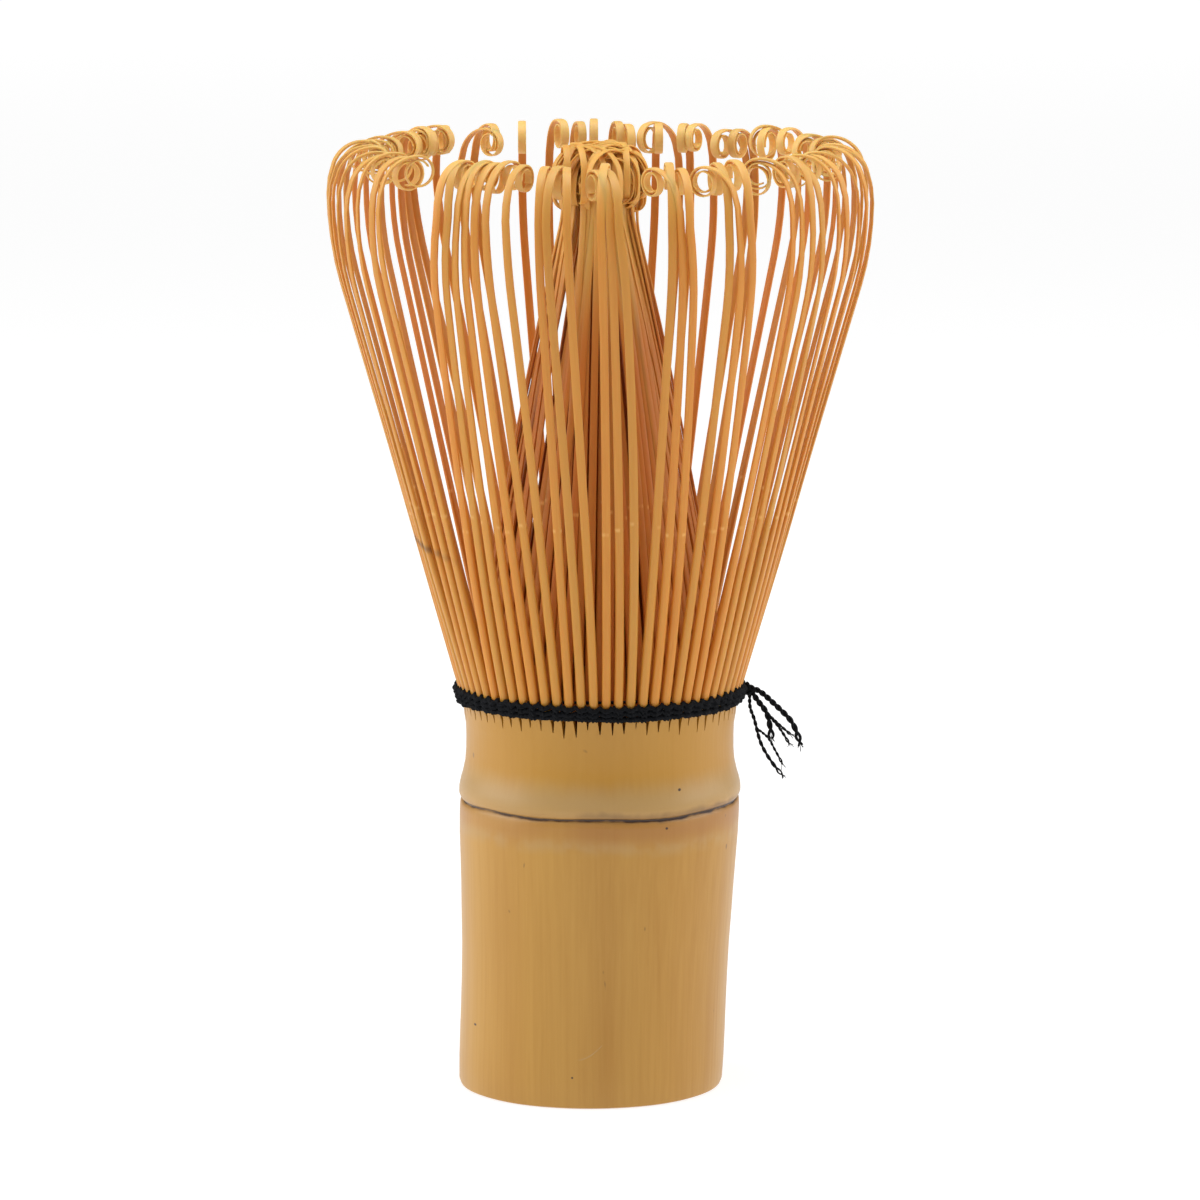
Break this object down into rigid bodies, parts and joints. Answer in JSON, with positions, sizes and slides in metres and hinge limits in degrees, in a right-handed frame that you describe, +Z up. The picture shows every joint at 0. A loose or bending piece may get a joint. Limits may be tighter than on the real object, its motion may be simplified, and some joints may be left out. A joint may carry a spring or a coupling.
{
  "type": "bamboo tea whisk",
  "caption": "Bamboo tea whisk: a culm handle split into a flaring ring of hooked outer tines and a cone of inner tines, bound with black thread.",
  "frame": {"origin": "centre of the open bore at the handle's base, on the plane the whisk stands on", "axes": "+Z up from the base to the tips of the tines; +X towards the side with the knot and the thread tails; -Y is the front"},
  "size_m": [0.0602, 0.0602, 0.1065],
  "materials": {
    "handle_bamboo": "smooth dried bamboo skin, satin",
    "outer_bamboo": "split and shaved bamboo, satin on the skin side",
    "inner_bamboo": "split and shaved bamboo, matte",
    "thread": "twisted cotton thread, matte"
  },
  "bodies": {
    "handle": {"culm_handle": "handle_bamboo", "binding_thread": "thread", "separator_thread": "thread", "binding_knot": "thread", "thread_tail_1": "thread", "thread_tail_2": "thread", "thread_tail_3": "thread"},
    "outer_group_01": {"outer_tines_01": "outer_bamboo"},
    "outer_group_02": {"outer_tines_02": "outer_bamboo"},
    "outer_group_03": {"outer_tines_03": "outer_bamboo"},
    "outer_group_04": {"outer_tines_04": "outer_bamboo"},
    "outer_group_05": {"outer_tines_05": "outer_bamboo"},
    "outer_group_06": {"outer_tines_06": "outer_bamboo"},
    "outer_group_07": {"outer_tines_07": "outer_bamboo"},
    "outer_group_08": {"outer_tines_08": "outer_bamboo"},
    "outer_group_09": {"outer_tines_09": "outer_bamboo"},
    "outer_group_10": {"outer_tines_10": "outer_bamboo"},
    "outer_group_11": {"outer_tines_11": "outer_bamboo"},
    "outer_group_12": {"outer_tines_12": "outer_bamboo"},
    "outer_group_13": {"outer_tines_13": "outer_bamboo"},
    "outer_group_14": {"outer_tines_14": "outer_bamboo"},
    "outer_group_15": {"outer_tines_15": "outer_bamboo"},
    "outer_group_16": {"outer_tines_16": "outer_bamboo"},
    "outer_group_17": {"outer_tines_17": "outer_bamboo"},
    "outer_group_18": {"outer_tines_18": "outer_bamboo"},
    "outer_group_19": {"outer_tines_19": "outer_bamboo"},
    "outer_group_20": {"outer_tines_20": "outer_bamboo"},
    "outer_group_21": {"outer_tines_21": "outer_bamboo"},
    "outer_group_22": {"outer_tines_22": "outer_bamboo"},
    "outer_group_23": {"outer_tines_23": "outer_bamboo"},
    "outer_group_24": {"outer_tines_24": "outer_bamboo"},
    "inner_group_01": {"inner_tines_01": "inner_bamboo"},
    "inner_group_02": {"inner_tines_02": "inner_bamboo"},
    "inner_group_03": {"inner_tines_03": "inner_bamboo"},
    "inner_group_04": {"inner_tines_04": "inner_bamboo"},
    "inner_group_05": {"inner_tines_05": "inner_bamboo"},
    "inner_group_06": {"inner_tines_06": "inner_bamboo"},
    "inner_group_07": {"inner_tines_07": "inner_bamboo"},
    "inner_group_08": {"inner_tines_08": "inner_bamboo"},
    "inner_group_09": {"inner_tines_09": "inner_bamboo"},
    "inner_group_10": {"inner_tines_10": "inner_bamboo"},
    "inner_group_11": {"inner_tines_11": "inner_bamboo"},
    "inner_group_12": {"inner_tines_12": "inner_bamboo"},
    "inner_group_13": {"inner_tines_13": "inner_bamboo"},
    "inner_group_14": {"inner_tines_14": "inner_bamboo"},
    "inner_group_15": {"inner_tines_15": "inner_bamboo"},
    "inner_group_16": {"inner_tines_16": "inner_bamboo"},
    "inner_group_17": {"inner_tines_17": "inner_bamboo"},
    "inner_group_18": {"inner_tines_18": "inner_bamboo"},
    "inner_group_19": {"inner_tines_19": "inner_bamboo"},
    "inner_group_20": {"inner_tines_20": "inner_bamboo"},
    "inner_group_21": {"inner_tines_21": "inner_bamboo"},
    "inner_group_22": {"inner_tines_22": "inner_bamboo"},
    "inner_group_23": {"inner_tines_23": "inner_bamboo"},
    "inner_group_24": {"inner_tines_24": "inner_bamboo"}
  },
  "joints": [
    {"name": "outer_flex_01", "type": "hinge", "parent": "handle", "child": "outer_group_01", "pos_m": [0.01641, 0.00202, 0.04543], "axis": [-0.1305, 0.9914, 0], "range_deg": [-5, 4], "stiffness_Nm_per_rad": 0.02},
    {"name": "outer_flex_02", "type": "hinge", "parent": "handle", "child": "outer_group_02", "pos_m": [0.01537, 0.00592, 0.04543], "axis": [-0.3827, 0.9239, 0], "range_deg": [-5, 4], "stiffness_Nm_per_rad": 0.02},
    {"name": "outer_flex_03", "type": "hinge", "parent": "handle", "child": "outer_group_03", "pos_m": [0.01334, 0.00942, 0.04543], "axis": [-0.6088, 0.7934, 0], "range_deg": [-5, 4], "stiffness_Nm_per_rad": 0.02},
    {"name": "outer_flex_04", "type": "hinge", "parent": "handle", "child": "outer_group_04", "pos_m": [0.01049, 0.01227, 0.04543], "axis": [-0.7934, 0.6088, 0], "range_deg": [-5, 4], "stiffness_Nm_per_rad": 0.02},
    {"name": "outer_flex_05", "type": "hinge", "parent": "handle", "child": "outer_group_05", "pos_m": [0.00699, 0.0143, 0.04543], "axis": [-0.9239, 0.3827, 0], "range_deg": [-5, 4], "stiffness_Nm_per_rad": 0.02},
    {"name": "outer_flex_06", "type": "hinge", "parent": "handle", "child": "outer_group_06", "pos_m": [0.00309, 0.01534, 0.04543], "axis": [-0.9914, 0.1305, 0], "range_deg": [-5, 4], "stiffness_Nm_per_rad": 0.02},
    {"name": "outer_flex_07", "type": "hinge", "parent": "handle", "child": "outer_group_07", "pos_m": [-0.00095, 0.01534, 0.04543], "axis": [-0.9914, -0.1305, 0], "range_deg": [-5, 4], "stiffness_Nm_per_rad": 0.02},
    {"name": "outer_flex_08", "type": "hinge", "parent": "handle", "child": "outer_group_08", "pos_m": [-0.00485, 0.0143, 0.04543], "axis": [-0.9239, -0.3827, 0], "range_deg": [-5, 4], "stiffness_Nm_per_rad": 0.02},
    {"name": "outer_flex_09", "type": "hinge", "parent": "handle", "child": "outer_group_09", "pos_m": [-0.00835, 0.01227, 0.04543], "axis": [-0.7934, -0.6088, 0], "range_deg": [-5, 4], "stiffness_Nm_per_rad": 0.02},
    {"name": "outer_flex_10", "type": "hinge", "parent": "handle", "child": "outer_group_10", "pos_m": [-0.0112, 0.00942, 0.04543], "axis": [-0.6088, -0.7934, 0], "range_deg": [-5, 4], "stiffness_Nm_per_rad": 0.02},
    {"name": "outer_flex_11", "type": "hinge", "parent": "handle", "child": "outer_group_11", "pos_m": [-0.01323, 0.00592, 0.04543], "axis": [-0.3827, -0.9239, 0], "range_deg": [-5, 4], "stiffness_Nm_per_rad": 0.02},
    {"name": "outer_flex_12", "type": "hinge", "parent": "handle", "child": "outer_group_12", "pos_m": [-0.01427, 0.00202, 0.04543], "axis": [-0.1305, -0.9914, 0], "range_deg": [-5, 4], "stiffness_Nm_per_rad": 0.02},
    {"name": "outer_flex_13", "type": "hinge", "parent": "handle", "child": "outer_group_13", "pos_m": [-0.01427, -0.00202, 0.04543], "axis": [0.1305, -0.9914, 0], "range_deg": [-5, 4], "stiffness_Nm_per_rad": 0.02},
    {"name": "outer_flex_14", "type": "hinge", "parent": "handle", "child": "outer_group_14", "pos_m": [-0.01323, -0.00592, 0.04543], "axis": [0.3827, -0.9239, 0], "range_deg": [-5, 4], "stiffness_Nm_per_rad": 0.02},
    {"name": "outer_flex_15", "type": "hinge", "parent": "handle", "child": "outer_group_15", "pos_m": [-0.0112, -0.00942, 0.04543], "axis": [0.6088, -0.7934, 0], "range_deg": [-5, 4], "stiffness_Nm_per_rad": 0.02},
    {"name": "outer_flex_16", "type": "hinge", "parent": "handle", "child": "outer_group_16", "pos_m": [-0.00835, -0.01227, 0.04543], "axis": [0.7934, -0.6088, 0], "range_deg": [-5, 4], "stiffness_Nm_per_rad": 0.02},
    {"name": "outer_flex_17", "type": "hinge", "parent": "handle", "child": "outer_group_17", "pos_m": [-0.00485, -0.0143, 0.04543], "axis": [0.9239, -0.3827, 0], "range_deg": [-5, 4], "stiffness_Nm_per_rad": 0.02},
    {"name": "outer_flex_18", "type": "hinge", "parent": "handle", "child": "outer_group_18", "pos_m": [-0.00095, -0.01534, 0.04543], "axis": [0.9914, -0.1305, 0], "range_deg": [-5, 4], "stiffness_Nm_per_rad": 0.02},
    {"name": "outer_flex_19", "type": "hinge", "parent": "handle", "child": "outer_group_19", "pos_m": [0.00309, -0.01534, 0.04543], "axis": [0.9914, 0.1305, 0], "range_deg": [-5, 4], "stiffness_Nm_per_rad": 0.02},
    {"name": "outer_flex_20", "type": "hinge", "parent": "handle", "child": "outer_group_20", "pos_m": [0.00699, -0.0143, 0.04543], "axis": [0.9239, 0.3827, 0], "range_deg": [-5, 4], "stiffness_Nm_per_rad": 0.02},
    {"name": "outer_flex_21", "type": "hinge", "parent": "handle", "child": "outer_group_21", "pos_m": [0.01049, -0.01227, 0.04543], "axis": [0.7934, 0.6088, 0], "range_deg": [-5, 4], "stiffness_Nm_per_rad": 0.02},
    {"name": "outer_flex_22", "type": "hinge", "parent": "handle", "child": "outer_group_22", "pos_m": [0.01334, -0.00942, 0.04543], "axis": [0.6088, 0.7934, 0], "range_deg": [-5, 4], "stiffness_Nm_per_rad": 0.02},
    {"name": "outer_flex_23", "type": "hinge", "parent": "handle", "child": "outer_group_23", "pos_m": [0.01537, -0.00592, 0.04543], "axis": [0.3827, 0.9239, 0], "range_deg": [-5, 4], "stiffness_Nm_per_rad": 0.02},
    {"name": "outer_flex_24", "type": "hinge", "parent": "handle", "child": "outer_group_24", "pos_m": [0.01641, -0.00202, 0.04543], "axis": [0.1305, 0.9914, 0], "range_deg": [-5, 4], "stiffness_Nm_per_rad": 0.02},
    {"name": "inner_open_01", "type": "hinge", "parent": "handle", "child": "inner_group_01", "pos_m": [0.01486, 0.00182, 0.04543], "axis": [-0.1305, 0.9914, 0], "range_deg": [0, 3], "stiffness_Nm_per_rad": 0.01},
    {"name": "inner_open_02", "type": "hinge", "parent": "handle", "child": "inner_group_02", "pos_m": [0.01392, 0.00532, 0.04543], "axis": [-0.3827, 0.9239, 0], "range_deg": [0, 3], "stiffness_Nm_per_rad": 0.01},
    {"name": "inner_open_03", "type": "hinge", "parent": "handle", "child": "inner_group_03", "pos_m": [0.01211, 0.00847, 0.04543], "axis": [-0.6088, 0.7934, 0], "range_deg": [0, 3], "stiffness_Nm_per_rad": 0.01},
    {"name": "inner_open_04", "type": "hinge", "parent": "handle", "child": "inner_group_04", "pos_m": [0.00954, 0.01104, 0.04543], "axis": [-0.7934, 0.6088, 0], "range_deg": [0, 3], "stiffness_Nm_per_rad": 0.01},
    {"name": "inner_open_05", "type": "hinge", "parent": "handle", "child": "inner_group_05", "pos_m": [0.00639, 0.01285, 0.04543], "axis": [-0.9239, 0.3827, 0], "range_deg": [0, 3], "stiffness_Nm_per_rad": 0.01},
    {"name": "inner_open_06", "type": "hinge", "parent": "handle", "child": "inner_group_06", "pos_m": [0.00289, 0.01379, 0.04543], "axis": [-0.9914, 0.1305, 0], "range_deg": [0, 3], "stiffness_Nm_per_rad": 0.01},
    {"name": "inner_open_07", "type": "hinge", "parent": "handle", "child": "inner_group_07", "pos_m": [-0.00075, 0.01379, 0.04543], "axis": [-0.9914, -0.1305, 0], "range_deg": [0, 3], "stiffness_Nm_per_rad": 0.01},
    {"name": "inner_open_08", "type": "hinge", "parent": "handle", "child": "inner_group_08", "pos_m": [-0.00425, 0.01285, 0.04543], "axis": [-0.9239, -0.3827, 0], "range_deg": [0, 3], "stiffness_Nm_per_rad": 0.01},
    {"name": "inner_open_09", "type": "hinge", "parent": "handle", "child": "inner_group_09", "pos_m": [-0.0074, 0.01104, 0.04543], "axis": [-0.7934, -0.6088, 0], "range_deg": [0, 3], "stiffness_Nm_per_rad": 0.01},
    {"name": "inner_open_10", "type": "hinge", "parent": "handle", "child": "inner_group_10", "pos_m": [-0.00997, 0.00847, 0.04543], "axis": [-0.6088, -0.7934, 0], "range_deg": [0, 3], "stiffness_Nm_per_rad": 0.01},
    {"name": "inner_open_11", "type": "hinge", "parent": "handle", "child": "inner_group_11", "pos_m": [-0.01178, 0.00532, 0.04543], "axis": [-0.3827, -0.9239, 0], "range_deg": [0, 3], "stiffness_Nm_per_rad": 0.01},
    {"name": "inner_open_12", "type": "hinge", "parent": "handle", "child": "inner_group_12", "pos_m": [-0.01272, 0.00182, 0.04543], "axis": [-0.1305, -0.9914, 0], "range_deg": [0, 3], "stiffness_Nm_per_rad": 0.01},
    {"name": "inner_open_13", "type": "hinge", "parent": "handle", "child": "inner_group_13", "pos_m": [-0.01272, -0.00182, 0.04543], "axis": [0.1305, -0.9914, 0], "range_deg": [0, 3], "stiffness_Nm_per_rad": 0.01},
    {"name": "inner_open_14", "type": "hinge", "parent": "handle", "child": "inner_group_14", "pos_m": [-0.01178, -0.00532, 0.04543], "axis": [0.3827, -0.9239, 0], "range_deg": [0, 3], "stiffness_Nm_per_rad": 0.01},
    {"name": "inner_open_15", "type": "hinge", "parent": "handle", "child": "inner_group_15", "pos_m": [-0.00997, -0.00847, 0.04543], "axis": [0.6088, -0.7934, 0], "range_deg": [0, 3], "stiffness_Nm_per_rad": 0.01},
    {"name": "inner_open_16", "type": "hinge", "parent": "handle", "child": "inner_group_16", "pos_m": [-0.0074, -0.01104, 0.04543], "axis": [0.7934, -0.6088, 0], "range_deg": [0, 3], "stiffness_Nm_per_rad": 0.01},
    {"name": "inner_open_17", "type": "hinge", "parent": "handle", "child": "inner_group_17", "pos_m": [-0.00425, -0.01285, 0.04543], "axis": [0.9239, -0.3827, 0], "range_deg": [0, 3], "stiffness_Nm_per_rad": 0.01},
    {"name": "inner_open_18", "type": "hinge", "parent": "handle", "child": "inner_group_18", "pos_m": [-0.00075, -0.01379, 0.04543], "axis": [0.9914, -0.1305, 0], "range_deg": [0, 3], "stiffness_Nm_per_rad": 0.01},
    {"name": "inner_open_19", "type": "hinge", "parent": "handle", "child": "inner_group_19", "pos_m": [0.00289, -0.01379, 0.04543], "axis": [0.9914, 0.1305, 0], "range_deg": [0, 3], "stiffness_Nm_per_rad": 0.01},
    {"name": "inner_open_20", "type": "hinge", "parent": "handle", "child": "inner_group_20", "pos_m": [0.00639, -0.01285, 0.04543], "axis": [0.9239, 0.3827, 0], "range_deg": [0, 3], "stiffness_Nm_per_rad": 0.01},
    {"name": "inner_open_21", "type": "hinge", "parent": "handle", "child": "inner_group_21", "pos_m": [0.00954, -0.01104, 0.04543], "axis": [0.7934, 0.6088, 0], "range_deg": [0, 3], "stiffness_Nm_per_rad": 0.01},
    {"name": "inner_open_22", "type": "hinge", "parent": "handle", "child": "inner_group_22", "pos_m": [0.01211, -0.00847, 0.04543], "axis": [0.6088, 0.7934, 0], "range_deg": [0, 3], "stiffness_Nm_per_rad": 0.01},
    {"name": "inner_open_23", "type": "hinge", "parent": "handle", "child": "inner_group_23", "pos_m": [0.01392, -0.00532, 0.04543], "axis": [0.3827, 0.9239, 0], "range_deg": [0, 3], "stiffness_Nm_per_rad": 0.01},
    {"name": "inner_open_24", "type": "hinge", "parent": "handle", "child": "inner_group_24", "pos_m": [0.01486, -0.00182, 0.04543], "axis": [0.1305, 0.9914, 0], "range_deg": [0, 3], "stiffness_Nm_per_rad": 0.01}
  ],
  "couplings": [
    {"joint": "inner_open_02", "follows": "inner_open_01", "ratio": 1},
    {"joint": "inner_open_03", "follows": "inner_open_01", "ratio": 1},
    {"joint": "inner_open_04", "follows": "inner_open_01", "ratio": 1},
    {"joint": "inner_open_05", "follows": "inner_open_01", "ratio": 1},
    {"joint": "inner_open_06", "follows": "inner_open_01", "ratio": 1},
    {"joint": "inner_open_07", "follows": "inner_open_01", "ratio": 1},
    {"joint": "inner_open_08", "follows": "inner_open_01", "ratio": 1},
    {"joint": "inner_open_09", "follows": "inner_open_01", "ratio": 1},
    {"joint": "inner_open_10", "follows": "inner_open_01", "ratio": 1},
    {"joint": "inner_open_11", "follows": "inner_open_01", "ratio": 1},
    {"joint": "inner_open_12", "follows": "inner_open_01", "ratio": 1},
    {"joint": "inner_open_13", "follows": "inner_open_01", "ratio": 1},
    {"joint": "inner_open_14", "follows": "inner_open_01", "ratio": 1},
    {"joint": "inner_open_15", "follows": "inner_open_01", "ratio": 1},
    {"joint": "inner_open_16", "follows": "inner_open_01", "ratio": 1},
    {"joint": "inner_open_17", "follows": "inner_open_01", "ratio": 1},
    {"joint": "inner_open_18", "follows": "inner_open_01", "ratio": 1},
    {"joint": "inner_open_19", "follows": "inner_open_01", "ratio": 1},
    {"joint": "inner_open_20", "follows": "inner_open_01", "ratio": 1},
    {"joint": "inner_open_21", "follows": "inner_open_01", "ratio": 1},
    {"joint": "inner_open_22", "follows": "inner_open_01", "ratio": 1},
    {"joint": "inner_open_23", "follows": "inner_open_01", "ratio": 1},
    {"joint": "inner_open_24", "follows": "inner_open_01", "ratio": 1}
  ]
}
